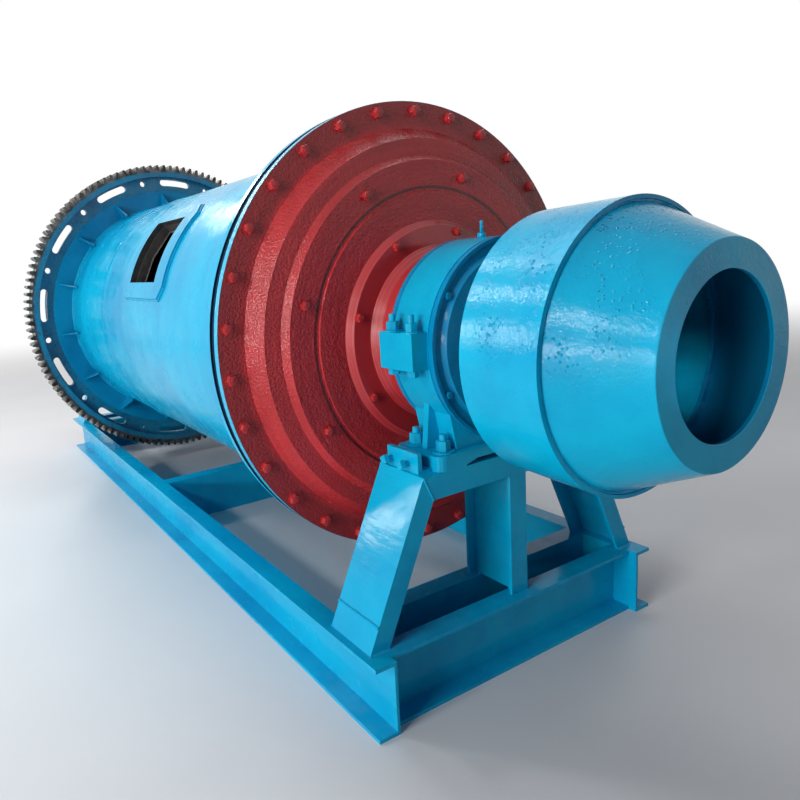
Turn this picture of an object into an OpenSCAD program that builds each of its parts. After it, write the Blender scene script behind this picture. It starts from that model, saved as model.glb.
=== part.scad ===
// Ball mill on a channel base frame: the drum turns about a level axis
// between two housed bearings, with a ring gear at the discharge end and
// a drum feeder at the feed end. Millimetres, +Z up, X along the mill
// with the feed end at +X, origin on the floor under the middle.

/* [Shell] */
// Inside diameter of the shell plate
shell_bore = 1280; // [1100:10:1320]
// Thickness of the shell plate
shell_t = 14; // [8:1:25]
// Length from the face of one head flange to the other
mill_len = 3000; // [2400:50:3600]
// Thickness of the wear lining inside the shell
liner_t = 40; // [20:5:60]

/* [Heads] */
// Height of the head and shell flanges over the shell plate
flange_rise = 96; // [85:1:115]
// Thickness of the head flange
head_flange_t = 40; // [30:1:50]
// Packing between head and shell flange
packing_t = 18; // [8:1:24]
// Thickness of the shell flange
shell_flange_t = 24; // [16:1:40]
// Rise of the head casting at its first step
step_one = 56; // [40:1:66]
// Rise of the head casting at its second step
step_two = 83; // [76:1:100]

/* [Manhole] */
// Distance of the manhole centre from the feed end flange face
manhole_x = 1101; // [900:1:1700]
// Length of the opening along the shell
manhole_len = 356; // [300:2:450]
// Width of the opening across the shell
manhole_w = 304; // [250:2:360]
// Angle of the opening above the horizontal, on the -Y side
manhole_angle = 32.5; // [0:0.5:90]
// Margin of the frame plate at the ends of the opening
manhole_end = 108; // [60:1:120]
// Margin of the frame plate at the sides of the opening
manhole_side = 66; // [50:1:100]
// Thickness of the frame plate
manhole_t = 12; // [8:1:20]

/* [Ring gear] */
// Number of teeth
teeth = 130; // [120:2:134]
// Gear module
gear_module = 14; // [13.5:0.25:14.5]
// Face width of the teeth
face_w = 130; // [90:5:160]
// Distance of the gear from the feed end flange face
gear_x = 2602; // [1900:1:2700]
// Thickness of the web
web_t = 30; // [20:1:45]
// Number of long slots in the web, with a round hole between each two
slots = 12; // [8:1:16]
// Number of gusset plates behind the gear flange
gussets = 15; // [8:1:24]

/* [Bearings] */
// Diameter of the hollow journals
journal_d = 400; // [340:5:420]
// Bore through the journals
journal_bore = 300; // [200:5:320]
// Outside diameter of the bearing housing
housing_d = 596; // [560:2:640]
// Length of the bearing housing between its covers
housing_len = 156; // [120:2:166]
// Thickness of the foot plate
foot_t = 45; // [36:1:50]
// Length of the foot plate across the mill
foot_len = 588; // [560:2:610]

/* [Base frame] */
// Height of the mill axis above the floor
axis_h = 1025; // [1000:5:1200]
// Depth of the frame channels
channel_h = 220; // [160:5:240]
// Flange width of the frame channels
channel_b = 70; // [60:1:90]
// Clear width between the side channels
frame_in = 1034; // [1000:2:1060]
// Web thickness of the frame channels
channel_web = 9; // [6:0.5:12]
// Flange thickness of the frame channels
channel_tf = 11; // [8:0.5:14]

/* [Stands] */
// Width of the stands along the mill
stand_w = 200; // [180:2:210]
// Distance of the stand centre from the head flange face
stand_x = 317; // [312:1:360]
// Distance of the stand's top face below the mill axis
stand_drop = 345; // [340:1:370]
// Width across the top of the stand
stand_top = 704; // [680:2:760]
// Width across the foot of the stand
stand_foot = 1126; // [1080:2:1160]
// Depth of the stand's top channel
stand_b = 72; // [60:1:85]
// Flange width of the stand's legs
leg_b = 60; // [50:1:80]
// Flange width of the middle post
post_b = 68; // [60:1:100]
// Distance of the post from the middle of the mill, to the +Y side
post_y = 13; // [0:1:30]
// Length of the side channels past the stand
frame_over = 58; // [40:1:90]

/* [Feeder] */
// Radius of the feeder drum at its back
feeder_r1 = 355; // [330:1:380]
// Radius of the feeder drum at its front rim
feeder_r2 = 365; // [340:1:390]
// Radius of the flat end plate
feeder_r3 = 256; // [220:1:300]
// Radius of the feed mouth
mouth_r = 190; // [150:1:210]
// Length of the drum part
feeder_len = 239; // [200:1:320]
// Length of the cone part
cone_len = 200; // [150:2:260]
// Plate thickness of the feeder
feeder_t = 10; // [6:1:14]

/* [Hidden] */
$fn = 96;

// radii that follow from the driving sizes
shell_ro = shell_bore / 2 + shell_t;
flange_r = shell_ro + flange_rise;
journal_r = journal_d / 2;
bore_r = journal_bore / 2;
housing_r = housing_d / 2;
pitch_r = teeth * gear_module / 2;
tip_r = pitch_r + gear_module;
root_r = pitch_r - 1.25 * gear_module;
rim_r = root_r - 41;
slot_r = rim_r - 31;
slot_w = 40;
gear_flange_r = shell_ro + 110;
gear_flange_t = 25;

trunnion_seat_r = 303;
head_wall = 46;

// places along the mill, measured from the feed head flange face towards +X
shell_end = head_flange_t + packing_t;
hub_end = step_two + 113;
journal_out = 262;
trunnion_end = stand_x + journal_out;
trunnion_flange_t = 28;
feeder_x0 = trunnion_end;
feeder_x1 = feeder_x0 + feeder_t + feeder_len;
feeder_x2 = feeder_x1 + cone_len;
overall = mill_len + trunnion_end + feeder_x2;
feed_face = overall / 2 - feeder_x2;
frame_end = stand_x + stand_w / 2 + frame_over;
cross_in = 27;

// seats and running gaps
seat = 0.2;
journal_gap = 0.1;
run_gap = 6;
eps = 0.01;

blue = [0.07, 0.58, 0.80];
deep_blue = [0.05, 0.35, 0.60];
red = [0.48, 0.12, 0.12];
steel = [0.23, 0.23, 0.24];
dark = [0.12, 0.12, 0.13];

// stand outline: half width of the outer face at a height, and its slope
stand_z = axis_h - stand_drop;
stand_tan = (stand_foot - stand_top) / 2 / (stand_z - channel_h);
stand_cos = 1 / sqrt(1 + stand_tan * stand_tan);

// turn a profile drawn as [radius, distance along +X] about the mill axis
module turned(points) {
    translate([0, 0, axis_h])
        rotate([0, 90, 0])
            rotate_extrude()
                polygon(points);
}

// place children, drawn from the feed head face, at the feed or discharge end
module feed_end() {
    translate([feed_face, 0, 0])
        children();
}

module discharge_end() {
    translate([feed_face - mill_len, 0, 0])
        mirror([1, 0, 0])
            children();
}

module ring(r_out, r_in, x0, len) {
    turned([[r_in, x0], [r_out, x0], [r_out, x0 + len], [r_in, x0 + len]]);
}

// channel section in the XY plane: web along Y at x = 0, flanges to +X
module channel_section(h, b, tw, tf) {
    difference() {
        translate([0, -h / 2])
            square([b, h]);
        translate([tw, -h / 2 + tf])
            square([b, h - 2 * tf]);
    }
}

// channel lying along +X from the origin, web upright at y = 0, flanges to -Y
module side_channel() {
    len = mill_len + 2 * frame_end;
    translate([-len / 2, 0, channel_h / 2])
        rotate([90, 0, 90])
            mirror([1, 0, 0])
                linear_extrude(len)
                    channel_section(channel_h, channel_b, channel_web, channel_tf);
}

// frame centre: the frame is even about the middle between the heads
module at_mill_middle() {
    translate([feed_face - mill_len / 2, 0, 0])
        children();
}

module side_channel_left() {
    color(blue)
        at_mill_middle()
            translate([0, -frame_in / 2, 0])
                side_channel();
}

module side_channel_right() {
    color(blue)
        at_mill_middle()
            mirror([0, 1, 0])
                translate([0, -frame_in / 2, 0])
                    side_channel();
}

// cross channel with its web face at x = 0 and its flanges towards -X
module cross_channel() {
    len = frame_in - 2 * seat;
    translate([0, len / 2, channel_h / 2])
        rotate([90, 0, 0])
            mirror([1, 0, 0])
                linear_extrude(len)
                    channel_section(channel_h, channel_b, channel_web, channel_tf);
}

// a pair stands web to web, even about the stand that it carries
module cross_pair() {
    reach = frame_end - cross_in - stand_x - channel_b;
    translate([stand_x + reach, 0, 0])
        mirror([1, 0, 0])
            cross_channel();
    translate([stand_x - reach, 0, 0])
        cross_channel();
}

module feed_cross_channels() {
    color(blue)
        feed_end()
            cross_pair();
}

module discharge_cross_channels() {
    color(blue)
        discharge_end()
            cross_pair();
}

module mid_cross_channel() {
    color(blue)
        at_mill_middle()
            translate([channel_b, 0, 0])
                cross_channel();
}

// outer face of the stand: half width at height z
function stand_y(z) = stand_top / 2 + (stand_z - z) * stand_tan;

// outline of a band along the leg, mitred where it meets the top
module leg_outline(w) {
    h = w * stand_b / leg_b;
    polygon([
        [stand_y(stand_z), stand_z],
        [stand_y(stand_z - h) - w / stand_cos, stand_z - h],
        [stand_y(channel_h) - w / stand_cos, channel_h],
        [stand_y(channel_h), channel_h]
    ]);
}

module top_outline(h) {
    y = stand_y(stand_z - h) - h * leg_b / stand_b / stand_cos;
    polygon([
        [-stand_top / 2, stand_z],
        [-y, stand_z - h],
        [y, stand_z - h],
        [stand_top / 2, stand_z]
    ]);
}

// stand channel: the web band over the whole width, a flange band at each edge
module stand_band(x0, len) {
    translate([x0, 0, 0])
        rotate([90, 0, 90])
            linear_extrude(len)
                children();
}

module stand_leg() {
    x0 = stand_x - stand_w / 2;
    stand_band(x0, stand_w)
        leg_outline(channel_web);
    stand_band(x0, channel_tf)
        leg_outline(leg_b);
    stand_band(x0 + stand_w - channel_tf, channel_tf)
        leg_outline(leg_b);
}

module stand_top_channel() {
    x0 = stand_x - stand_w / 2;
    stand_band(x0, stand_w)
        top_outline(channel_web);
    stand_band(x0, channel_tf)
        top_outline(stand_b);
    stand_band(x0 + stand_w - channel_tf, channel_tf)
        top_outline(stand_b);
}

// middle post: two flanges across the mill and a web along it
module stand_post() {
    x0 = stand_x - stand_w / 2;
    len = stand_z - stand_b - channel_h;
    for (x = [x0, x0 + stand_w - channel_tf])
        translate([x, post_y - post_b / 2, channel_h])
            cube([channel_tf, post_b, len]);
    translate([x0, post_y - channel_web / 2, channel_h])
        cube([stand_w, channel_web, len]);
}

module feed_stand_leg_left() {
    color(blue)
        feed_end()
            mirror([0, 1, 0])
                stand_leg();
}

module feed_stand_leg_right() {
    color(blue)
        feed_end()
            stand_leg();
}

module feed_stand_top() {
    color(blue)
        feed_end()
            stand_top_channel();
}

module feed_stand_post() {
    color(blue)
        feed_end()
            stand_post();
}

module discharge_stand_leg_left() {
    color(blue)
        discharge_end()
            mirror([0, 1, 0])
                stand_leg();
}

module discharge_stand_leg_right() {
    color(blue)
        discharge_end()
            stand_leg();
}

module discharge_stand_top() {
    color(blue)
        discharge_end()
            stand_top_channel();
}

module discharge_stand_post() {
    color(blue)
        discharge_end()
            stand_post();
}

// bearing sizes shared by base and cap
lug_len = 146;
lug_h = 104;
lug_y = housing_r + 52;
foot_w = stand_w;
gusset_t = 22;
cover_t = 18;

// round of the housing between its covers, with the journal bore left in
module housing_round() {
    x0 = stand_x - housing_len / 2;
    turned([
        [0, x0],
        [housing_r - 4, x0],
        [housing_r - 4, x0 + 3],
        [housing_r, x0 + 3],
        [housing_r, x0 + housing_len - 3],
        [housing_r - 4, x0 + housing_len - 3],
        [housing_r - 4, x0 + housing_len],
        [0, x0 + housing_len]
    ]);
}

module housing_bore() {
    translate([0, 0, axis_h])
        rotate([0, 90, 0])
            cylinder(r = journal_r + journal_gap, h = 2 * trunnion_end);
}

module lugs(z0, h) {
    for (side = [-1, 1])
        translate([stand_x - lug_len / 2, side > 0 ? 0 : -lug_y, axis_h + z0])
            cube([lug_len, lug_y, h]);
}

// pedestal and side gussets under the housing, in the YZ plane
module pedestal() {
    z0 = stand_z + foot_t;
    rotate([90, 0, 90]) {
        translate([0, 0, stand_x - housing_len / 2])
            linear_extrude(housing_len)
                polygon([
                    [-205, z0 - eps],
                    [205, z0 - eps],
                    [235, axis_h - 160],
                    [-235, axis_h - 160]
                ]);
        translate([0, 0, stand_x - gusset_t / 2])
            linear_extrude(gusset_t)
                polygon([
                    [-262, z0 - eps],
                    [262, z0 - eps],
                    [246, axis_h - 150],
                    [-246, axis_h - 150]
                ]);
    }
}

// foot plate with rounded corners, seen from above
foot_corner = 24;
module foot_outline() {
    a = foot_w / 2 - foot_corner;
    b = foot_len / 2 - foot_corner;
    polygon([
        for (q = [0 : 3], i = [0 : 4])
            let (t = q * 90 + i * 22.5)
            [(q == 0 || q == 3 ? a : -a) + foot_corner * cos(t),
             (q < 2 ? b : -b) + foot_corner * sin(t)]
    ]);
}

// the foot stands on a pad at each end and is relieved between them
relief = 16;
module foot_relief() {
    translate([stand_x - foot_w / 2 - 1, 0, stand_z])
        rotate([90, 0, 90])
            linear_extrude(foot_w + 2)
                polygon([[-190, -1], [-190, 4], [-148, relief], [148, relief], [190, 4], [190, -1]]);
}

module bearing_base() {
    difference() {
        union() {
            intersection() {
                housing_round();
                translate([0, -housing_r - 1, axis_h - housing_r - 1])
                    cube([2 * trunnion_end, 2 * housing_r + 2, housing_r + 1]);
            }
            lugs(-lug_h / 2, lug_h / 2);
            pedestal();
            translate([stand_x, 0, stand_z])
                linear_extrude(foot_t)
                    foot_outline();
        }
        foot_relief();
        housing_bore();
    }
}

module bearing_cap() {
    difference() {
        union() {
            intersection() {
                housing_round();
                translate([0, -housing_r - 1, axis_h])
                    cube([2 * trunnion_end, 2 * housing_r + 2, housing_r + 1]);
            }
            lugs(0, lug_h / 2);
        }
        housing_bore();
    }
}

// dished end covers, one on each face of the housing
module bearing_cover() {
    x0 = stand_x + housing_len / 2;
    turned([
        [journal_r + run_gap, x0],
        [housing_r - 4, x0],
        [housing_r, x0 + 3],
        [housing_r, x0 + cover_t],
        [housing_r - 10, x0 + cover_t],
        [housing_r - 11, x0 + 10],
        [housing_r - 36, x0 + 10],
        [housing_r - 46, x0 + 24],
        [journal_r + run_gap, x0 + 24]
    ]);
}

module bearing_covers() {
    bearing_cover();
    translate([2 * stand_x, 0, 0])
        mirror([1, 0, 0])
            bearing_cover();
}

// angles that carry the bolts which set the bearing sideways
jack_len = 140;
jack_t = 14;
jack_h = 60;
module jack_plates() {
    y0 = foot_len / 2 + seat;
    y1 = stand_top / 2 - 7;
    for (side = [0, 1])
        mirror([0, side, 0])
            translate([stand_x - jack_len / 2, 0, stand_z]) {
                translate([0, y1 - jack_t, 0])
                    cube([jack_len, jack_t, jack_h]);
                translate([0, y0, 0])
                    cube([jack_len, y1 - y0 - 1, 9]);
            }
}

module eye_bolt() {
    translate([stand_x - 12, 0, axis_h + housing_r + seat]) {
        cylinder(d = 26, h = 12);
        translate([0, 0, 28])
            rotate([90, 0, -44])
                rotate_extrude()
                    translate([16, 0])
                        circle(d = 10, $fn = 24);
    }
}

module feed_bearing_base() {
    color(blue)
        feed_end()
            bearing_base();
}

module feed_bearing_cap() {
    color(blue)
        feed_end()
            bearing_cap();
}

module feed_bearing_covers() {
    color(deep_blue)
        feed_end()
            bearing_covers();
}

module feed_jack_plates() {
    color(blue)
        feed_end()
            jack_plates();
}

module feed_eye_bolt() {
    color(blue)
        feed_end()
            eye_bolt();
}

module discharge_bearing_base() {
    color(blue)
        discharge_end()
            bearing_base();
}

module discharge_bearing_cap() {
    color(blue)
        discharge_end()
            bearing_cap();
}

module discharge_bearing_covers() {
    color(deep_blue)
        discharge_end()
            bearing_covers();
}

module discharge_jack_plates() {
    color(blue)
        discharge_end()
            jack_plates();
}

module discharge_eye_bolt() {
    color(blue)
        discharge_end()
            eye_bolt();
}

// manhole place: x runs back along the shell, z points out of the opening
module at_manhole() {
    translate([feed_face - manhole_x, 0, axis_h])
        rotate([90 - manhole_angle, 0, 0])
            children();
}

module manhole_cut(grow) {
    at_manhole()
        translate([-manhole_len / 2 - grow, -manhole_w / 2 - grow, 0])
            cube([manhole_len + 2 * grow, manhole_w + 2 * grow, shell_ro + 60]);
}

// frame plate outline with cut corners
module manhole_outline() {
    a = manhole_len / 2 + manhole_end;
    b = manhole_w / 2 + manhole_side;
    c = 50;
    difference() {
        polygon([
            [-a, -b + c], [-a + c, -b], [a - c, -b], [a, -b + c],
            [a, b - c], [a - c, b], [-a + c, b], [-a, b - c]
        ]);
        square([manhole_len, manhole_w], center = true);
    }
}

module manhole_frame() {
    color(blue)
        intersection() {
            feed_end()
                ring(shell_ro + manhole_t, shell_ro + seat, -mill_len, mill_len);
            at_manhole()
                linear_extrude(shell_ro + 60)
                    manhole_outline();
        }
}

module shell() {
    color(blue)
        difference() {
            feed_end()
                ring(shell_ro, shell_bore / 2, shell_end - mill_len, mill_len - 2 * shell_end);
            manhole_cut(0);
        }
}

// lining plates along the shell, flat inside; two of them are cut for the manhole
liner_r = shell_bore / 2 - seat;
liner_hole_x = manhole_len / 2 - 6;
plate_a = asin((manhole_w / 2 - 6) / (liner_r - liner_t / 2));
plates = 22;
plate_b = (360 - 2 * plate_a) / (plates - 2);
joint = 0.03;

function plate_start(i) = i < 2 ? (i - 1) * plate_a : plate_a + (i - 2) * plate_b;

module liner_plate(i, x0, x1) {
    t0 = plate_start(i) + joint;
    t1 = plate_start(i) + (i < 2 ? plate_a : plate_b) - joint;
    r0 = liner_r - liner_t;
    translate([x0, 0, 0])
        rotate([90, 0, 90])
            linear_extrude(x1 - x0)
                polygon([
                    [r0 * sin(t0), r0 * cos(t0)],
                    for (k = [0 : 3])
                        let (t = t0 + (t1 - t0) * k / 3)
                        [liner_r * sin(t), liner_r * cos(t)],
                    [r0 * sin(t1), r0 * cos(t1)]
                ]);
}

module shell_liner() {
    x0 = shell_end + 2 - manhole_x;
    x1 = mill_len - shell_end - 2 - manhole_x;
    color(dark)
        at_manhole()
            mirror([1, 0, 0]) {
                for (i = [0 : 1]) {
                    liner_plate(i, x0, -liner_hole_x);
                    liner_plate(i, liner_hole_x, x1);
                }
                for (i = [2 : plates - 1])
                    liner_plate(i, x0, x1);
            }
}

// lining plates of a head, in sectors
end_plates = 8;
module end_liner() {
    x0 = step_two + 6 - head_wall - seat;
    step = 360 / end_plates;
    translate([0, 0, axis_h])
        rotate([0, 90, 0])
            for (i = [0 : end_plates - 1])
                rotate([0, 0, i * step + 0.04])
                    rotate_extrude(angle = step - 0.08)
                        polygon([
                            [bore_r + 15, x0 - 50],
                            [flange_r - 194, x0 - 50],
                            [flange_r - 194, x0 - 24],
                            [flange_r - 221, x0],
                            [bore_r + 15, x0]
                        ]);
}

module feed_end_liner() {
    color(dark)
        feed_end()
            end_liner();
}

module discharge_end_liner() {
    color(dark)
        discharge_end()
            end_liner();
}

module shell_flange() {
    ring(flange_r, shell_ro + seat, -shell_end - shell_flange_t, shell_flange_t);
}

module feed_shell_flange() {
    color(blue)
        feed_end()
            shell_flange();
}

module discharge_shell_flange() {
    color(blue)
        discharge_end()
            shell_flange();
}

module packing() {
    ring(flange_r - 26, shell_bore / 2, -shell_end, packing_t);
}

module feed_packing() {
    color(dark)
        feed_end()
            packing();
}

module discharge_packing() {
    color(dark)
        discharge_end()
            packing();
}

// stepped, dished head casting with a seat for the trunnion in the middle
back_one = 215;
back_two = 160;
module head() {
    turned([
        [flange_r, -head_flange_t],
        [flange_r, 0],
        [flange_r - 86, 0],
        [flange_r - 124, step_one - 2],
        [flange_r - 176, step_one + 2],
        [flange_r - 194, step_two - 2],
        [flange_r - 291, step_two],
        [flange_r - 293, step_two + 6],
        [trunnion_seat_r, step_two + 6],
        [trunnion_seat_r, step_two + 6 - head_wall],
        [flange_r - back_one, step_two + 6 - head_wall],
        [flange_r - back_two, step_one - head_wall - 20],
        [shell_bore / 2, -head_flange_t]
    ]);
}

module feed_head() {
    color(red)
        feed_end()
            head();
}

module discharge_head() {
    color(red)
        discharge_end()
            head();
}

// trunnion: flange on the head, hub, hollow journal and outer flange
module trunnion() {
    x0 = step_two + 6;
    turned([
        [bore_r, x0 - head_wall],
        [trunnion_seat_r - seat, x0 - head_wall],
        [trunnion_seat_r - seat, x0],
        [trunnion_seat_r + 64, x0],
        [trunnion_seat_r + 45, x0 + 20],
        [trunnion_seat_r - 15, x0 + 22],
        [trunnion_seat_r - 38, x0 + 49],
        [trunnion_seat_r - 44, x0 + 80],
        [journal_r, hub_end],
        [journal_r, trunnion_end - trunnion_flange_t],
        [journal_r + 90, trunnion_end - trunnion_flange_t],
        [journal_r + 90, trunnion_end],
        [bore_r, trunnion_end]
    ]);
}

// bolt holes of the outer flange, for what the mill discharges into
flange_holes = 8;
flange_hole_r = 11;
flange_pcd = journal_d + 100;
module flange_hole_set() {
    translate([trunnion_end - trunnion_flange_t - 1, 0, axis_h])
        rotate([0, 90, 0])
            for (i = [0 : flange_holes - 1])
                rotate([0, 0, (i + 0.5) * 360 / flange_holes])
                    translate([flange_pcd / 2, 0, 0])
                        cylinder(r = flange_hole_r, h = trunnion_flange_t + 2);
}

module feed_trunnion() {
    color(steel)
        feed_end()
            trunnion();
}

module discharge_trunnion() {
    color(steel)
        discharge_end()
            difference() {
                trunnion();
                flange_hole_set();
            }
}

// one tooth flank pair, from the root circle to the tip, on the +X axis
module tooth() {
    half_root = 0.30 * PI * gear_module;
    half_pitch = 0.245 * PI * gear_module;
    half_tip = 0.12 * PI * gear_module;
    polygon([
        [root_r - 4, -half_root], [pitch_r, -half_pitch], [tip_r, -half_tip],
        [tip_r, half_tip], [pitch_r, half_pitch], [root_r - 4, half_root]
    ]);
}

module gear_teeth_outline() {
    difference() {
        union() {
            circle(r = root_r, $fn = 2 * teeth);
            for (i = [0 : teeth - 1])
                rotate(i * 360 / teeth)
                    tooth();
        }
        circle(r = rim_r);
    }
}

// long slot that follows the web
slot_turn = 7;
module slot_outline() {
    half = 5.6;
    intersection() {
        difference() {
            circle(r = slot_r + slot_w / 2);
            circle(r = slot_r - slot_w / 2);
        }
        polygon([
            [0, 0],
            [2 * slot_r * cos(half), -2 * slot_r * sin(half)],
            [2 * slot_r * cos(half), 2 * slot_r * sin(half)]
        ]);
    }
    for (a = [-half, half])
        rotate(a)
            translate([slot_r, 0])
                circle(d = slot_w - 1);
}

module web_outline() {
    difference() {
        circle(r = rim_r + 2);
        circle(r = shell_ro + 4);
        for (i = [0 : slots - 1]) {
            rotate(i * 360 / slots - slot_turn)
                slot_outline();
            rotate((i + 0.5) * 360 / slots - slot_turn)
                translate([slot_r, 0])
                    circle(d = 34);
        }
    }
}

// draw along the mill axis, from gear middle minus half the length
module at_gear(len, shift) {
    translate([feed_face - gear_x + shift - len / 2, 0, axis_h])
        rotate([0, 90, 0])
            rotate([0, 0, 90])
                linear_extrude(len)
                    children();
}

module ring_gear() {
    color(steel) {
        at_gear(face_w, 0)
            gear_teeth_outline();
        at_gear(web_t, 0)
            web_outline();
    }
}

// mounting flange on the shell, with its gusset plates on the feed side
module gear_flange() {
    x0 = feed_face - gear_x + web_t / 2 + seat;
    color(blue) {
        translate([x0, 0, 0])
            ring(gear_flange_r, shell_ro + seat, 0, gear_flange_t);
        for (i = [0 : gussets - 1])
            translate([x0 + gear_flange_t - 1, 0, axis_h])
                rotate([0.7 + i * 360 / gussets, 0, 0])
                    rotate([90, 0, 0])
                        linear_extrude(10, center = true)
                            polygon([
                                [0, shell_ro + seat + 1],
                                [120, shell_ro + seat + 1],
                                [120, shell_ro + 16],
                                [16, gear_flange_r - 20],
                                [0, gear_flange_r - 20]
                            ]);
    }
}

module feeder_back_plate() {
    color(blue)
        feed_end()
            ring(feeder_r1 - feeder_t - seat, bore_r, feeder_x0 + seat, feeder_t);
}

module feeder_drum() {
    color(blue)
        feed_end()
            turned([
                [feeder_r1 - feeder_t, feeder_x0],
                [feeder_r1, feeder_x0],
                [feeder_r2, feeder_x1],
                [feeder_r2 - feeder_t, feeder_x1]
            ]);
}

// inside radius of the tapered drum at a distance from the head face
function feeder_inside(x) =
    feeder_r1 - feeder_t + (feeder_r2 - feeder_r1) * (x - feeder_x0) / (feeder_x1 - feeder_x0);

module feeder_rim_plate() {
    x0 = feeder_x1 - 8 - feeder_t;
    color(deep_blue)
        feed_end()
            ring(feeder_inside(x0) - seat, feeder_r2 - 45, x0, feeder_t);
}

module feeder_cone() {
    r = feeder_r2 - 15;
    color(blue)
        feed_end()
            turned([
                [r - feeder_t, feeder_x1 - 8],
                [r, feeder_x1 - 8],
                [feeder_r3, feeder_x2 - feeder_t],
                [feeder_r3 - feeder_t, feeder_x2 - feeder_t]
            ]);
}

module feeder_end_plate() {
    color(blue)
        feed_end()
            ring(feeder_r3, mouth_r, feeder_x2 - feeder_t, feeder_t);
}

side_channel_left();
side_channel_right();
feed_cross_channels();
mid_cross_channel();
discharge_cross_channels();
feed_stand_leg_left();
feed_stand_leg_right();
feed_stand_top();
feed_stand_post();
discharge_stand_leg_left();
discharge_stand_leg_right();
discharge_stand_top();
discharge_stand_post();
feed_bearing_base();
feed_bearing_cap();
feed_bearing_covers();
feed_jack_plates();
feed_eye_bolt();
discharge_bearing_base();
discharge_bearing_cap();
discharge_bearing_covers();
discharge_jack_plates();
discharge_eye_bolt();
shell();
shell_liner();
feed_end_liner();
discharge_end_liner();
feed_shell_flange();
discharge_shell_flange();
manhole_frame();
feed_packing();
discharge_packing();
feed_head();
discharge_head();
feed_trunnion();
discharge_trunnion();
ring_gear();
gear_flange();
feeder_back_plate();
feeder_drum();
feeder_rim_plate();
feeder_cone();
feeder_end_plate();
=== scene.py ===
import math
import random

import bmesh
import bpy
from mathutils import Matrix, Vector


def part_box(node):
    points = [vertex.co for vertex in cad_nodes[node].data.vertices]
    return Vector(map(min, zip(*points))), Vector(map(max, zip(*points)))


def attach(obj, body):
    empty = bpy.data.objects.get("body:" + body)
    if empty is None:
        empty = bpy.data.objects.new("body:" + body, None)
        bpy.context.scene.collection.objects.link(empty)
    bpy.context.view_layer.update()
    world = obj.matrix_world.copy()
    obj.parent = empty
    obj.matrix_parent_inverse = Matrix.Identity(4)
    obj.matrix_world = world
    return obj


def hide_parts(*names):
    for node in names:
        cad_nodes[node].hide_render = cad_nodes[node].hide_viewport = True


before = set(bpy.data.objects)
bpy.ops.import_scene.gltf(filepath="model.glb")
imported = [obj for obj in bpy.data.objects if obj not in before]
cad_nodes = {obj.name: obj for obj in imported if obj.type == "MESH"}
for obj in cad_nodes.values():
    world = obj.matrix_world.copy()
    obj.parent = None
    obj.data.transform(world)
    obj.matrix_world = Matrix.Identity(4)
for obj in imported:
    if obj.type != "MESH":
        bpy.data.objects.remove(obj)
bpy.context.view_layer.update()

# Channel base. The real one is rolled steel channel, welded up and rolled
# over with thick gloss enamel, so the paint shows orange peel, slow colour
# changes and a little dust.
axis_z = 1.025
enamel_blue = (0.002, 0.420, 0.660)
enamel_deep = (0.001, 0.270, 0.520)
enamel_dust = (0.300, 0.460, 0.500)
plain_specular = 0.06
enamel_coat = 0.18


def start_material(name):
    mat = bpy.data.materials.new(name)
    mat.use_nodes = True
    tree = mat.node_tree
    shader = tree.nodes["Principled BSDF"]
    place = tree.nodes.new("ShaderNodeTexCoord")
    return mat, tree, shader, place.outputs["Object"]


def stretched(tree, coords, scale, middle=(0, 0, 0)):
    mapping = tree.nodes.new("ShaderNodeMapping")
    mapping.inputs["Location"].default_value = [-m * s for m, s in zip(middle, scale)]
    mapping.inputs["Scale"].default_value = scale
    tree.links.new(coords, mapping.inputs["Vector"])
    return mapping.outputs["Vector"]


def noise(tree, coords, scale, detail=3.0, rough=0.5):
    node = tree.nodes.new("ShaderNodeTexNoise")
    node.inputs["Scale"].default_value = scale
    node.inputs["Detail"].default_value = detail
    node.inputs["Roughness"].default_value = rough
    tree.links.new(coords, node.inputs["Vector"])
    return node.outputs["Fac"]


def spread(tree, value, low, high, to_low=0.0, to_high=1.0):
    node = tree.nodes.new("ShaderNodeMapRange")
    node.interpolation_type = "SMOOTHSTEP"
    node.inputs["From Min"].default_value = low
    node.inputs["From Max"].default_value = high
    node.inputs["To Min"].default_value = to_low
    node.inputs["To Max"].default_value = to_high
    tree.links.new(value, node.inputs["Value"])
    return node.outputs["Result"]


def blend(tree, share, first, second):
    node = tree.nodes.new("ShaderNodeMix")
    node.data_type = "RGBA"
    tree.links.new(share, node.inputs["Factor"])
    for socket, colour in ((node.inputs[6], first), (node.inputs[7], second)):
        if isinstance(colour, tuple):
            socket.default_value = (*colour, 1.0)
        else:
            tree.links.new(colour, socket)
    return node.outputs[2]


def sums(tree, kind, first, second):
    node = tree.nodes.new("ShaderNodeMath")
    node.operation = kind
    for socket, value in ((node.inputs[0], first), (node.inputs[1], second)):
        if isinstance(value, (int, float)):
            socket.default_value = value
        else:
            tree.links.new(value, socket)
    return node.outputs[0]


def relief(tree, shader, *layers):
    normal = None
    for height, depth in layers:
        node = tree.nodes.new("ShaderNodeBump")
        node.inputs["Distance"].default_value = depth
        tree.links.new(height, node.inputs["Height"])
        if normal is not None:
            tree.links.new(normal, node.inputs["Normal"])
        normal = node.outputs["Normal"]
    tree.links.new(normal, shader.inputs["Normal"])
    if shader.inputs["Coat Weight"].default_value > 0:
        tree.links.new(normal, shader.inputs["Coat Normal"])


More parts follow.
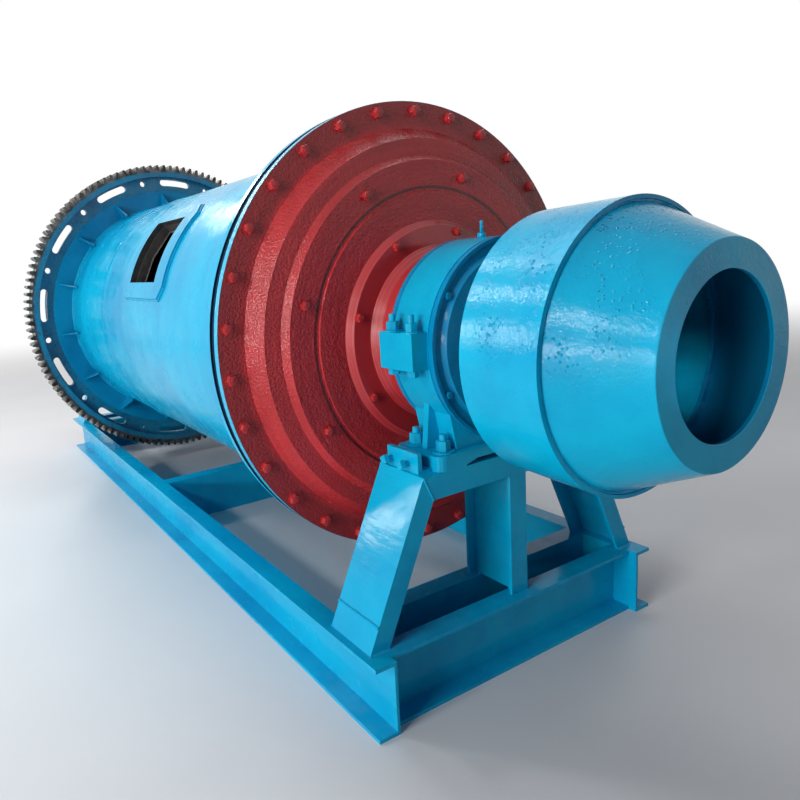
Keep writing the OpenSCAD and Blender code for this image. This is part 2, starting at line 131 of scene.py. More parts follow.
def enamel(name, main, deep, peel=0.0006, streaks=(1.0, 1.0, 1.0), rough=(0.16, 0.30)):
    mat, tree, shader, coords = start_material(name)
    along_streaks = stretched(tree, coords, streaks)
    clouds = spread(tree, noise(tree, coords, 1.7, 4.0), 0.38, 0.66)
    brushed = spread(tree, noise(tree, along_streaks, 9.0, 5.0, 0.6), 0.35, 0.70)
    thin = sums(tree, "MULTIPLY", clouds, 0.55)
    both = sums(tree, "ADD", thin, sums(tree, "MULTIPLY", brushed, 0.30))
    colour = blend(tree, both, main, deep)
    specks = spread(tree, noise(tree, coords, 260.0, 2.0), 0.68, 0.76, 0.0, 0.16)
    tree.links.new(blend(tree, specks, colour, enamel_dust), shader.inputs["Base Color"])
    gloss = spread(tree, noise(tree, coords, 14.0, 4.0), 0.35, 0.70, *rough)
    tree.links.new(gloss, shader.inputs["Roughness"])
    shader.inputs["Specular IOR Level"].default_value = plain_specular
    shader.inputs["Coat Weight"].default_value = enamel_coat
    shader.inputs["Coat Roughness"].default_value = 0.05
    relief(
        tree,
        shader,
        (noise(tree, coords, 5.0, 2.0), 0.006),
        (noise(tree, along_streaks, 70.0, 3.0), peel),
        (noise(tree, coords, 210.0, 2.0), peel * 0.45),
    )
    return mat


def dress(material, *names):
    for name in names:
        mesh = cad_nodes[name].data
        mesh.materials.clear()
        mesh.materials.append(material)


frame_paint = enamel("frame_enamel", enamel_blue, enamel_deep, peel=0.0004, streaks=(0.25, 1.0, 1.0))
dress(
    frame_paint,
    "side_channel_left",
    "side_channel_right",
    "feed_cross_channels",
    "mid_cross_channel",
    "discharge_cross_channels",
)

# Stands. Each is a portal of channel with mitred corners and a joist post,
# set across two cross channels; the beads are where it was welded.
head_rise = 0.089
feed_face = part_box("feed_head")[1].x - head_rise
discharge_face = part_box("discharge_head")[0].x + head_rise
ends = {
    "feed": Matrix.Translation((feed_face, 0, 0)),
    "discharge": Matrix.Translation((discharge_face, 0, 0)) @ Matrix.Rotation(math.pi, 4, "Z"),
}
stand_middle = 0.317
stand_half = 0.100
stand_height = axis_z - 0.345
frame_height = 0.220
foot_outer, foot_inner = 0.563, 0.497
knee_outer, knee_inner = 0.352, 0.319
knee_depth = 0.072
stand_slope = (foot_outer - knee_outer) / (stand_height - frame_height)
seam_height = 0.073
post_y = 0.013
post_run = 0.027
post_flanges = ((0.229, post_run), (0.405, -post_run))
post_web_half, post_half = 0.006, 0.034
thin_bead, leg_bead, post_bead = 0.003, 0.004, 0.005
weld_step = 0.012

for end in ends:
    dress(
        frame_paint,
        end + "_stand_leg_left",
        end + "_stand_leg_right",
        end + "_stand_top",
        end + "_stand_post",
    )


def weld(bm, start, finish, radius, seed):
    chance = random.Random(seed)
    along = finish - start
    steps = max(4, int(along.length / weld_step))
    turn = Vector((0, 0, 1)).rotation_difference(along).to_matrix().to_4x4()
    made = bmesh.ops.create_cone(
        bm, segments=8, radius1=radius, radius2=radius, depth=along.length, cap_ends=True,
        matrix=Matrix.Translation((start + finish) / 2) @ turn,
    )
    sides = [e for v in made["verts"] for e in v.link_edges if e.calc_length() > along.length * 0.9]
    cut = bmesh.ops.subdivide_edges(bm, edges=list(set(sides)), cuts=steps, use_grid_fill=True)
    unit = along.normalized()
    rings = {}
    for piece in cut["geom_inner"]:
        if isinstance(piece, bmesh.types.BMVert):
            rings.setdefault(round((piece.co - start).dot(unit), 4), []).append(piece)
    for distance, ring in sorted(rings.items()):
        middle = start + unit * distance
        grow = chance.uniform(0.75, 1.25)
        for vert in ring:
            vert.co = middle + (vert.co - middle) * grow


def finish_piece(name, bm, material, body, angle=35):
    bmesh.ops.recalc_face_normals(bm, faces=bm.faces)
    mesh = bpy.data.meshes.new(name)
    bm.to_mesh(mesh)
    bm.free()
    mesh.materials.append(material)
    mesh.shade_smooth()
    mesh.set_sharp_from_angle(angle=math.radians(angle))
    piece = bpy.data.objects.new(name, mesh)
    bpy.context.scene.collection.objects.link(piece)
    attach(piece, body)
    return piece


bead_paint = enamel("bead_enamel", enamel_blue, enamel_deep, peel=0.0008, rough=(0.12, 0.22))
bm = bmesh.new()
for number, place in enumerate(ends.values()):
    for side in (-1, 1):
        for x in (stand_middle - stand_half, stand_middle + stand_half):
            foot = Vector((x, side * foot_outer, frame_height))
            inner = Vector((x, side * foot_inner, frame_height))
            weld(bm, place @ foot, place @ inner, leg_bead, number * 40 + side * 3)
            corner = Vector((x, side * knee_outer, stand_height))
            inside = Vector((x, side * knee_inner, stand_height - knee_depth))
            weld(bm, place @ corner, place @ inside, thin_bead, number * 50 + side * 7)
        y = side * (foot_outer - stand_slope * seam_height + 0.001)
        near = Vector((stand_middle + stand_half, y, frame_height + seam_height))
        far = Vector((stand_middle - stand_half, y, frame_height + seam_height))
        weld(bm, place @ near, place @ far, leg_bead, number * 60 + side * 5)
    post_middle = post_y * (1 - 2 * number)
    for x, reach in post_flanges:
        for side in (-1, 1):
            web = Vector((x, post_middle + side * post_web_half, frame_height))
            weld(bm, place @ web, place @ (web + Vector((reach, 0, 0))), post_bead, number * 70 + side)
            tip = Vector((x, post_middle + side * post_half, frame_height))
            in_from_tip = Vector((0, side * post_run, 0))
            weld(bm, place @ tip, place @ (tip - in_from_tip), leg_bead, number * 80 + side)
finish_piece("stand_welds", bm, bead_paint, "frame")

# Bearings. Cast housings split at the axis, with two studs through each lug,
# four foot bolts, and two square headed bolts that set them sideways.
lug_half = 0.052
stud_x, stud_y, stud_across, stud_reach = 0.042, 0.325, 0.030, 0.050
under_nut_high = 0.020
foot_top = stand_height + 0.045
foot_bolt_x, foot_bolt_y, foot_across, foot_reach = 0.060, 0.243, 0.036, 0.052
jack_places = (stand_middle - 0.050, stand_middle + 0.026)
jack_y, jack_height = 0.345, stand_height + 0.025
jack_radius, jack_tip, jack_neck = 0.008, -0.037, 0.020
jack_head_radius, jack_head_low, jack_head_top = 0.0165, 0.018, 0.034
cover_half, cover_circle, cover_turn, cover_screws = 0.088, 0.275, -2, 6
cover_screw_across, cover_screw_high = 0.019, 0.012

casting_paint = enamel("casting_enamel", enamel_blue, enamel_deep, peel=0.0011, rough=(0.14, 0.26))
# A darker copy of the blue enamel is painted shade. It goes on the recessed bearing covers, the screws in
# them and the feeder's rim plate.
shaded_cover_paint = enamel("cover_enamel_painted_shade", enamel_deep, (0.002, 0.120, 0.300), peel=0.0008)
for end in ends:
    dress(
        casting_paint,
        end + "_bearing_base",
        end + "_bearing_cap",
        end + "_jack_plates",
        end + "_eye_bolt",
    )
    dress(shaded_cover_paint, end + "_bearing_covers")


def disc(bm, place, radius, low, high, sides=16):
    made = bmesh.ops.create_cone(
        bm, segments=sides, radius1=radius, radius2=radius, depth=high - low, cap_ends=True,
        matrix=place @ Matrix.Translation((0, 0, (low + high) / 2)),
    )
    return made["verts"]


def chamfer(bm, verts, width, place, level):
    flat = place.inverted()
    edges = {
        edge
        for vert in verts
        for edge in vert.link_edges
        if all(abs((flat @ tip.co).z - level) < 1e-5 for tip in edge.verts)
    }
    bmesh.ops.bevel(
        bm, geom=list(edges), offset=width, offset_type="OFFSET", segments=2, profile=0.5,
        affect="EDGES", material=-1,
    )


def hexagon(bm, place, across, low, high, width=0.07):
    verts = disc(bm, place, across / math.sqrt(3), low, high, sides=6)
    chamfer(bm, verts, across * width, place, high)


def nut_and_stud(bm, place, across, reach):
    disc(bm, place, across * 0.95, 0.0, across * 0.12, sides=20)
    hexagon(bm, place, across, across * 0.12, across * 0.95)
    verts = disc(bm, place, across * 0.31, across * 0.9, reach, sides=14)
    chamfer(bm, verts, across * 0.05, place, reach)


chance = random.Random(11)


def any_turn(low=0, high=1):
    return Matrix.Rotation(chance.uniform(low, high), 4, "Z")


bm = bmesh.new()
for place in ends.values():
    for x in (stand_middle - stud_x, stand_middle + stud_x):
        for side in (-1, 1):
            spin = any_turn()
            top = place @ Matrix.Translation((x, side * stud_y, axis_z + lug_half)) @ spin
            nut_and_stud(bm, top, stud_across, stud_reach)
            under = place @ Matrix.Translation((x, side * stud_y, axis_z - lug_half))
            downward = under @ Matrix.Rotation(math.pi, 4, "X") @ spin
            hexagon(bm, downward, stud_across, 0.0, under_nut_high)
    for x in (stand_middle - foot_bolt_x, stand_middle + foot_bolt_x):
        for side in (-1, 1):
            spin = any_turn()
            foot = place @ Matrix.Translation((x, side * foot_bolt_y, foot_top)) @ spin
            nut_and_stud(bm, foot, foot_across, foot_reach)
finish_piece("bearing_bolts", bm, bead_paint, "frame")

bm = bmesh.new()
for place in ends.values():
    for side in (-1, 1):
        for x in jack_places:
            seat = Matrix.Translation((x, side * jack_y, jack_height))
            outward = place @ seat @ Matrix.Rotation(math.radians(-90 * side), 4, "X")
            disc(bm, outward, jack_radius, jack_tip, jack_neck, sides=12)
            turned = outward @ any_turn(0.2, 1.3)
            verts = disc(bm, turned, jack_head_radius, jack_head_low, jack_head_top, sides=4)
            chamfer(bm, verts, 0.002, turned, jack_head_top)
finish_piece("jack_bolts", bm, bead_paint, "frame")

bm = bmesh.new()
for place in ends.values():
    for out in (1, -1):
        middle = Matrix.Translation((stand_middle + cover_half * out, 0, axis_z))
        outward = Matrix.Rotation(math.radians(90 * out), 4, "Y")
        for step in range(cover_screws):
            angle = math.radians(360 / cover_screws * step + cover_turn)
            turn = middle @ Matrix.Rotation(angle, 4, "X")
            seat = turn @ Matrix.Translation((0, 0, cover_circle)) @ outward
            hexagon(bm, place @ seat, cover_screw_across, 0.0, cover_screw_high)
finish_piece("cover_screws", bm, shaded_cover_paint, "frame")

# Drum shell. Rolled plate with a wear lining inside, flanges at its ends and
# a curved doubler round the manhole; the seams stand a little proud.
shell_paint = enamel("shell_enamel", enamel_blue, enamel_deep, peel=0.0005, streaks=(1.0, 0.35, 0.35))
shell_radius = 0.654
mill_middle = (feed_face + discharge_face) / 2
mill_half = (feed_face - discharge_face) / 2
joint_depth = 0.058
# Painted shade colour for the groove between the shell flanges and the heads.
joint_painted_shade = (0.001, 0.020, 0.055)

manhole_middle = Vector((feed_face - 1.101, 0, axis_z))
manhole_turn = math.radians(57.5)
manhole_out = (0.0, -math.sin(manhole_turn), math.cos(manhole_turn))
manhole_along = (0.0, math.cos(manhole_turn), math.sin(manhole_turn))
manhole_half = (0.178, 0.152)
manhole_edge = 0.0003
doubler_corners = [
    (-0.288, -0.169), (-0.237, -0.220), (0.237, -0.220), (0.288, -0.169),
    (0.288, 0.169), (0.237, 0.220), (-0.237, 0.220), (-0.288, 0.169),
]


def reach_along(tree, coords, middle, direction):
    offset = tree.nodes.new("ShaderNodeVectorMath")
    offset.operation = "SUBTRACT"
    tree.links.new(coords, offset.inputs[0])
    offset.inputs[1].default_value = middle
    dot = tree.nodes.new("ShaderNodeVectorMath")
    dot.operation = "DOT_PRODUCT"
    tree.links.new(offset.outputs["Vector"], dot.inputs[0])
    dot.inputs[1].default_value = direction
    return dot.outputs["Value"]


def apart(tree, coords, middle, direction):
    return sums(tree, "ABSOLUTE", reach_along(tree, coords, middle, direction), 0.0)


def from_mill_middle(tree, coords):
    return apart(tree, coords, (mill_middle, 0, 0), (1, 0, 0))


def opened(mat):
    tree = mat.node_tree
    coords = next(node for node in tree.nodes if node.type == "TEX_COORD").outputs["Object"]
    return tree, tree.nodes["Principled BSDF"], coords


def copied(paint, name):
    mat = paint.copy()
    mat.name = name
    return mat


def paint_over(tree, shader, share, colour):
    painted = shader.inputs["Base Color"].links[0].from_socket
    tree.links.new(blend(tree, share, painted, colour), shader.inputs["Base Color"])


def inside_manhole(tree, coords, margin):
    length = apart(tree, coords, manhole_middle, (1, 0, 0))
    width = apart(tree, coords, manhole_middle, manhole_along)
    out = reach_along(tree, coords, manhole_middle, manhole_out)
    end, side = (half + margin for half in manhole_half)
    in_length = spread(tree, length, end, end + manhole_edge, 1.0, 0.0)
    in_width = spread(tree, width, side, side + manhole_edge, 1.0, 0.0)
    both = sums(tree, "MULTIPLY", in_length, in_width)
    return sums(tree, "MULTIPLY", both, spread(tree, out, 0.30, 0.31)), width, out


# Painted shade for the groove's shadow, only on the flange face that looks into the joint with the head.
joint_shade_paint = copied(shell_paint, "shell_enamel_joint_shade")
tree, shader, coords = opened(joint_shade_paint)
flange_face = mill_half - joint_depth
in_joint_shade = spread(tree, from_mill_middle(tree, coords), flange_face - 0.0012, flange_face - 0.0004)
paint_over(tree, shader, in_joint_shade, joint_painted_shade)
dress(joint_shade_paint, "feed_shell_flange", "discharge_shell_flange")

# The cut walls of the manhole are left as bare, dark steel.
cut_paint = copied(shell_paint, "shell_enamel_cut")
tree, shader, coords = opened(cut_paint)
cut, _, _ = inside_manhole(tree, coords, 0.0006)
steel = blend(tree, noise(tree, coords, 30.0, 4.0), (0.020, 0.024, 0.030), (0.060, 0.062, 0.066))
paint_over(tree, shader, cut, steel)
dress(cut_paint, "shell", "manhole_frame")

# Inner face of the two plates that meet in the manhole, for their lighter edge: worn steel with a painted
# highlight on it.
# They reach 6 mm into the opening.
lining_radius, lining_thick, lining_lip = 0.6398, 0.040, 0.006
plate_half_angle = math.asin((manhole_half[1] - lining_lip) / (lining_radius - lining_thick / 2)) / 2
plate_lean = (math.cos(plate_half_angle), math.sin(plate_half_angle))
plate_face = (lining_radius - lining_thick) * math.cos(plate_half_angle)


def lining(name):
    mat, tree, shader, coords = start_material(name)
    patches = spread(tree, noise(tree, coords, 6.0, 6.0, 0.65), 0.35, 0.68)
    colour = blend(tree, patches, (0.030, 0.031, 0.034), (0.085, 0.078, 0.070))
    cut, width, out = inside_manhole(tree, coords, 0.0)
    outwards = sums(tree, "MULTIPLY", out, plate_lean[0])
    lean = sums(tree, "ADD", outwards, sums(tree, "MULTIPLY", width, plate_lean[1]))
    edge_reach = sums(tree, "ADD", lean, sums(tree, "MULTIPLY", noise(tree, coords, 40.0), 0.006))
    # Lighter band along the plates' inner edge, partly wear and partly painted highlight.
    worn_and_highlit = spread(tree, edge_reach, plate_face + 0.006, plate_face + 0.011, 1.0, 0.0)
    worn_lit_lip = sums(tree, "MULTIPLY", cut, worn_and_highlit)
    tree.links.new(blend(tree, worn_lit_lip, colour, (0.300, 0.290, 0.270)), shader.inputs["Base Color"])
    gloss = spread(tree, noise(tree, coords, 30.0), 0.3, 0.7, 0.45, 0.75)
    tree.links.new(gloss, shader.inputs["Roughness"])
    shader.inputs["Metallic"].default_value = 0.4
    relief(tree, shader, (noise(tree, coords, 22.0, 5.0), 0.004))
    return mat


dress(lining("liner_cast"), "shell_liner", "feed_end_liner", "discharge_end_liner")


def rubber(name):
    mat, tree, shader, coords = start_material(name)
    colour = blend(tree, noise(tree, coords, 40.0, 4.0), (0.006, 0.007, 0.010), (0.022, 0.024, 0.030))
    tree.links.new(colour, shader.inputs["Base Color"])
    gloss = spread(tree, noise(tree, coords, 90.0), 0.3, 0.7, 0.55, 0.8)
    tree.links.new(gloss, shader.inputs["Roughness"])
    relief(tree, shader, (noise(tree, coords, 160.0), 0.0006))
    return mat


dress(rubber("packing_rubber"), "feed_packing", "discharge_packing")


def ring_weld(bm, x, radius, thick, seed):
    chance = random.Random(seed)
    made = bmesh.ops.create_circle(
        bm, segments=8, radius=thick, cap_ends=False,
        matrix=Matrix.Translation((x, 0, axis_z + radius)) @ Matrix.Rotation(math.radians(-90), 4, "X"),
    )
    edges = {e for v in made["verts"] for e in v.link_edges}
    bmesh.ops.spin(
        bm, geom=list(made["verts"]) + list(edges), cent=(0, 0, axis_z), axis=(1, 0, 0),
        angle=2 * math.pi, steps=240, use_merge=True, use_duplicate=False,
    )
    close = thick * 1.01
    for vert in [v for v in bm.verts if abs(v.co.x - x) <= close]:
        reach = Vector((0, vert.co.y, vert.co.z - axis_z))
        if abs(reach.length - radius) <= close:
            sideways = Vector((chance.uniform(-1, 1) * thick * 0.14, 0, 0))
            vert.co += sideways + reach.normalized() * chance.uniform(-1, 1) * thick * 0.12


flange_bead, seam_bead = 0.006, 0.0045
seam_x = feed_face - 1.806
doubler_step = 0.045
bm = bmesh.new()
for seed, x in enumerate((
    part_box("feed_shell_flange")[0].x - 0.003,
    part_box("discharge_shell_flange")[1].x + 0.003,
    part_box("gear_flange")[0].x + 0.030,
)):
    ring_weld(bm, x, shell_radius + 0.001, flange_bead, 100 + seed)
ring_weld(bm, seam_x, shell_radius - 0.001, seam_bead, 130)
for i, corner in enumerate(doubler_corners):
    following = doubler_corners[(i + 1) % len(doubler_corners)]
    steps = max(1, round(math.dist(corner, following) / doubler_step))
    points = []
    for k in range(steps + 1):
        x = corner[0] + (following[0] - corner[0]) * k / steps
        y = corner[1] + (following[1] - corner[1]) * k / steps
        out = math.sqrt((shell_radius + 0.0015) ** 2 - y * y)
        below = manhole_middle + Vector((x, 0, 0)) + Vector(manhole_along) * y
        points.append(below + Vector(manhole_out) * out)
    for k in range(steps):
        weld(bm, points[k], points[k + 1], seam_bead, 900 + i * 40 + k)
finish_piece("shell_welds", bm, bead_paint, "drum")

# Heads. Stepped castings in thick red oxide gloss, brushed round the axis,
# with the rim left in the drum's blue and three rings of painted bolts.
oxide_red = (0.560, 0.036, 0.042)
oxide_dark = (0.390, 0.026, 0.030)
# Painted shade colours: one for the outer flat of the head, one for the thin shadow line at its small step.
oxide_shadow = (0.200, 0.026, 0.028)
oxide_step_shadow = (0.110, 0.014, 0.016)
oxide_dust = (0.600, 0.300, 0.260)
oxide_coat = 0.42
head_rim = 0.750
head_line = 0.470
rim_joint = 0.025


def from_axis(tree, coords):
    parts = tree.nodes.new("ShaderNodeSeparateXYZ")
    tree.links.new(stretched(tree, coords, (1, 1, 1), (0, 0, axis_z)), parts.inputs["Vector"])
    flat = tree.nodes.new("ShaderNodeCombineXYZ")
    tree.links.new(parts.outputs["Y"], flat.inputs["X"])
    tree.links.new(parts.outputs["Z"], flat.inputs["Y"])
    length = tree.nodes.new("ShaderNodeVectorMath")
    length.operation = "LENGTH"
    tree.links.new(flat.outputs["Vector"], length.inputs[0])
    unit = tree.nodes.new("ShaderNodeVectorMath")
    unit.operation = "NORMALIZE"
    tree.links.new(flat.outputs["Vector"], unit.inputs[0])
    return length.outputs["Value"], unit.outputs["Vector"]


def red_gloss(name, with_rim):
    mat, tree, shader, coords = start_material(name)
    radius, heading = from_axis(tree, coords)
    level = tree.nodes.new("ShaderNodeCombineXYZ")
    tree.links.new(sums(tree, "MULTIPLY", radius, 60.0), level.inputs["Z"])
    polar = tree.nodes.new("ShaderNodeVectorMath")
    polar.operation = "MULTIPLY_ADD"
    tree.links.new(heading, polar.inputs[0])
    polar.inputs[1].default_value = (2.2, 2.2, 0.0)
    tree.links.new(level.outputs["Vector"], polar.inputs[2])
    strokes = noise(tree, polar.outputs["Vector"], 1.0, 4.0, 0.6)
    patches = noise(tree, coords, 3.2, 4.0)
    share = sums(tree, "ADD", sums(tree, "MULTIPLY", strokes, 0.55), sums(tree, "MULTIPLY", patches, 0.45))
    colour = blend(tree, spread(tree, share, 0.30, 0.66), oxide_dark, oxide_red)
    dust = spread(tree, noise(tree, coords, 180.0, 3.0), 0.62, 0.72, 0.0, 0.14)
    colour = blend(tree, dust, colour, oxide_dust)
    gloss = spread(tree, noise(tree, coords, 8.0, 4.0), 0.35, 0.70, 0.14, 0.34)
    if with_rim:
        # Painted shadow: a thin dark line at the small step on the head's face, and painted shade darkening
        # the outer flat towards the rim.
        line = sums(tree, "ABSOLUTE", sums(tree, "SUBTRACT", radius, head_line), 0.0)
        colour = blend(tree, spread(tree, line, 0.0035, 0.0060, 0.9, 0.0), colour, oxide_step_shadow)
        colour = blend(tree, spread(tree, radius, 0.668, 0.690, 0.0, 0.45), colour, oxide_shadow)
        # The rim is left in the drum's blue. Its back part next to the flange gets painted shade for the
        # groove's shadow, with the coat taken off and the roughness raised so nothing reflects there.
        edge = spread(tree, radius, head_rim - 0.0015, head_rim - 0.0005)
        joint_end = mill_half - rim_joint
        reach = from_mill_middle(tree, coords)
        joint = spread(tree, reach, joint_end - 0.0005, joint_end + 0.0005, 1.0, 0.0)
        colour = blend(tree, edge, colour, blend(tree, joint, enamel_blue, joint_painted_shade))
        in_joint_shade = sums(tree, "MULTIPLY", edge, joint)
        gloss = sums(tree, "MAXIMUM", gloss, sums(tree, "MULTIPLY", in_joint_shade, 0.95))
        bare = sums(tree, "SUBTRACT", 1.0, in_joint_shade)
        tree.links.new(sums(tree, "MULTIPLY", bare, oxide_coat), shader.inputs["Coat Weight"])
    tree.links.new(colour, shader.inputs["Base Color"])
    tree.links.new(gloss, shader.inputs["Roughness"])
    shader.inputs["Specular IOR Level"].default_value = plain_specular
    shader.inputs["Coat Weight"].default_value = oxide_coat
    shader.inputs["Coat Roughness"].default_value = 0.06
    relief(
        tree,
        shader,
        (strokes, 0.0008),
        (noise(tree, coords, 40.0, 3.0), 0.0016),
        (noise(tree, coords, 130.0, 2.0), 0.0030),
    )
    return mat


dress(red_gloss("head_oxide", True), "feed_head", "discharge_head")
bolt_red = red_gloss("bolt_oxide", False)

# Number, radius of the circle, level of the seat, angle of the first, width across flats.
head_bolts = (
    (30, 0.720, 0.000, 233.1, 0.030),
    (8, 0.514, 0.083, 164.7, 0.027),
    (8, 0.335, 0.109, 165.8, 0.025),
)
bm = bmesh.new()
for place in ends.values():
    for count, radius, level, first, across in head_bolts:
        for step in range(count):
            angle = math.radians(first + step * 360 / count)
            seat = Vector((level, radius * math.cos(angle), axis_z + radius * math.sin(angle)))
            bolt = place @ Matrix.Translation(seat) @ Matrix.Rotation(math.radians(90), 4, "Y") @ any_turn()
            disc(bm, bolt, across * 0.62, 0.0, across * 0.08, sides=18)
            hexagon(bm, bolt, across, across * 0.08, across * 0.62, width=0.17)
finish_piece("head_bolts", bm, bolt_red, "drum")

# Trunnions. Turned steel, left bright and oiled where they run in the
# bearings and red like the heads before that; the outer flanges carry the
# feeder and what stands at the discharge end.
bare_from = 0.200


def turned_steel(name):
    mat, tree, shader, coords = start_material(name)
    parts = tree.nodes.new("ShaderNodeSeparateXYZ")
    tree.links.new(coords, parts.inputs["Vector"])
    line = tree.nodes.new("ShaderNodeCombineXYZ")
    tree.links.new(sums(tree, "MULTIPLY", parts.outputs["X"], 300.0), line.inputs["X"])
    cuts = noise(tree, line.outputs["Vector"], 1.0, 2.0)
    film = spread(tree, noise(tree, coords, 7.0, 5.0), 0.40, 0.70)
    colour = blend(tree, film, (0.42, 0.42, 0.43), (0.24, 0.22, 0.19))
    wander = sums(tree, "MULTIPLY", noise(tree, coords, 12.0), 0.010)
    ragged = sums(tree, "ADD", from_mill_middle(tree, coords), wander)
    bare = spread(tree, ragged, mill_half + bare_from, mill_half + bare_from + 0.004)
    shade = blend(tree, noise(tree, coords, 9.0, 4.0), oxide_dark, oxide_red)
    tree.links.new(blend(tree, bare, shade, colour), shader.inputs["Base Color"])
    tree.links.new(spread(tree, cuts, 0.3, 0.7, 0.18, 0.34), shader.inputs["Roughness"])
    tree.links.new(sums(tree, "MULTIPLY", bare, 0.9), shader.inputs["Metallic"])
    relief(tree, shader, (cuts, 0.0002), (noise(tree, coords, 40.0, 3.0), 0.0004))
    return mat


dress(turned_steel("journal_steel"), "feed_trunnion", "discharge_trunnion")

# Ring gear. A cast ring with cut, greased teeth; its slotted web is painted
# and screwed from the back to a gusseted flange on the shell.
tooth_foot = 0.8925
web_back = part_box("gear_flange")[0].x - 0.0302
screw_count, screw_circle, screw_first = 30, 0.722, 96.7
screw_across, screw_top = 0.036, 0.025
washer_radius, washer_thick = 0.0205, 0.003


def gear_finish(name):
    mat, tree, shader, coords = start_material(name)
    radius, _ = from_axis(tree, coords)
    edge = sums(tree, "ADD", radius, sums(tree, "MULTIPLY", noise(tree, coords, 30.0, 4.0), 0.014))
    bare = spread(tree, edge, tooth_foot - 0.012, tooth_foot + 0.004)
    grease = spread(tree, noise(tree, coords, 18.0, 5.0, 0.6), 0.36, 0.64)
    steel = blend(tree, grease, (0.120, 0.115, 0.105), (0.022, 0.018, 0.013))
    clouds = spread(tree, noise(tree, coords, 3.0, 4.0), 0.35, 0.70)
    paint = blend(tree, clouds, (0.003, 0.190, 0.330), (0.006, 0.100, 0.190))
    soil = spread(tree, noise(tree, coords, 25.0, 5.0, 0.65), 0.56, 0.70, 0.0, 0.6)
    paint = blend(tree, soil, paint, (0.020, 0.030, 0.040))
    tree.links.new(blend(tree, bare, paint, steel), shader.inputs["Base Color"])
    tree.links.new(spread(tree, grease, 0.0, 1.0, 0.24, 0.42), shader.inputs["Roughness"])
    tree.links.new(sums(tree, "MULTIPLY", bare, 0.7), shader.inputs["Metallic"])
    relief(tree, shader, (noise(tree, coords, 60.0, 4.0), 0.0012), (noise(tree, coords, 9.0, 3.0), 0.003))
    return mat


dress(gear_finish("gear_steel_and_enamel"), "ring_gear")
# The gear flange gets a darker copy of the blue enamel, as painted shade.
shaded_gear_flange_paint = enamel("gear_flange_enamel_painted_shade", (0.002, 0.260, 0.470), (0.001, 0.150, 0.330), peel=0.0006)
dress(shaded_gear_flange_paint, "gear_flange")

bm = bmesh.new()
for step in range(screw_count):
    angle = math.radians(screw_first + step * 360 / screw_count)
    seat = Vector((web_back, screw_circle * math.cos(angle), axis_z + screw_circle * math.sin(angle)))
    bolt = Matrix.Translation(seat) @ Matrix.Rotation(math.radians(-90), 4, "Y") @ any_turn()
    disc(bm, bolt, washer_radius, 0.0, washer_thick, sides=20)
    hexagon(bm, bolt, screw_across, washer_thick, screw_top)
finish_piece("gear_bolts", bm, bead_paint, "drum")

# Drum feeder. Rolled plate drum, cone and end ring, welded and painted so
# thickly that drops stand in it; it hangs on the feed trunnion's flange.
nose_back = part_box("feeder_cone")[0].x
nose_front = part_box("feeder_end_plate")[1].x
nose_long = nose_front - nose_back
cone_back, cone_front = 0.350, 0.2565
mouth_radius, nose_plate = 0.190, 0.010
rim_weld_x, rim_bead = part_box("feeder_drum")[1].x - 0.006, 0.005
drops_x = feed_face + 0.790

feeder_paint = enamel("feeder_enamel", enamel_blue, enamel_deep, peel=0.0009, rough=(0.13, 0.24))
tree, shader, coords = opened(feeder_paint)
height = reach_along(tree, coords, (0, 0, axis_z), (0, 0, 1))
near_rim = spread(tree, apart(tree, coords, (drops_x, 0, 0), (1, 0, 0)), 0.10, 0.34, 1.0, 0.0)
clusters = spread(tree, noise(tree, coords, 9.0, 2.0), 0.40, 0.62)
upper = sums(tree, "MULTIPLY", spread(tree, height, -0.06, 0.06), near_rim)
beads = tree.nodes.new("ShaderNodeTexVoronoi")
beads.inputs["Scale"].default_value = 85.0
tree.links.new(coords, beads.inputs["Vector"])
domes = spread(tree, beads.outputs["Distance"], 0.05, 0.34, 1.0, 0.0)
drops = sums(tree, "MULTIPLY", domes, sums(tree, "MULTIPLY", clusters, upper))
bumps = tree.nodes.new("ShaderNodeBump")
bumps.inputs["Distance"].default_value = 0.0024
tree.links.new(drops, bumps.inputs["Height"])
tree.links.new(shader.inputs["Normal"].links[0].from_socket, bumps.inputs["Normal"])
tree.links.new(bumps.outputs["Normal"], shader.inputs["Normal"])
tree.links.new(bumps.outputs["Normal"], shader.inputs["Coat Normal"])
dress(feeder_paint, "feeder_drum", "feeder_back_plate")
# The rim plate takes the darker enamel as painted shade for its recess.
dress(shaded_cover_paint, "feeder_rim_plate")

bm = bmesh.new()
profile = [
    (nose_back, cone_back - nose_plate),
    (nose_back, cone_back),
    (nose_front - 0.0012, cone_front),
    (nose_front, cone_front - 0.0015),
    (nose_front, mouth_radius + 0.0015),
    (nose_front - 0.0015, mouth_radius),
    (nose_front - nose_plate, mouth_radius),
    (nose_front - nose_plate, 0.2500),
]
ring = [bm.verts.new((x, 0, axis_z + radius)) for x, radius in profile]
edges = [bm.edges.new((ring[i], ring[(i + 1) % len(ring)])) for i in range(len(ring))]
bmesh.ops.spin(
    bm, geom=ring + edges, cent=(0, 0, axis_z), axis=(1, 0, 0), angle=2 * math.pi, steps=192,
    use_merge=True, use_duplicate=False,
)
nose_paint = copied(feeder_paint, "feeder_enamel_nose")
tree, shader, coords = opened(nose_paint)
radius, _ = from_axis(tree, coords)
along = reach_along(tree, coords, (nose_back, 0, 0), (1, 0, 0))
taper = (cone_back - cone_front) / nose_long
unrolled = sums(tree, "ADD", radius, sums(tree, "MULTIPLY", along, taper))
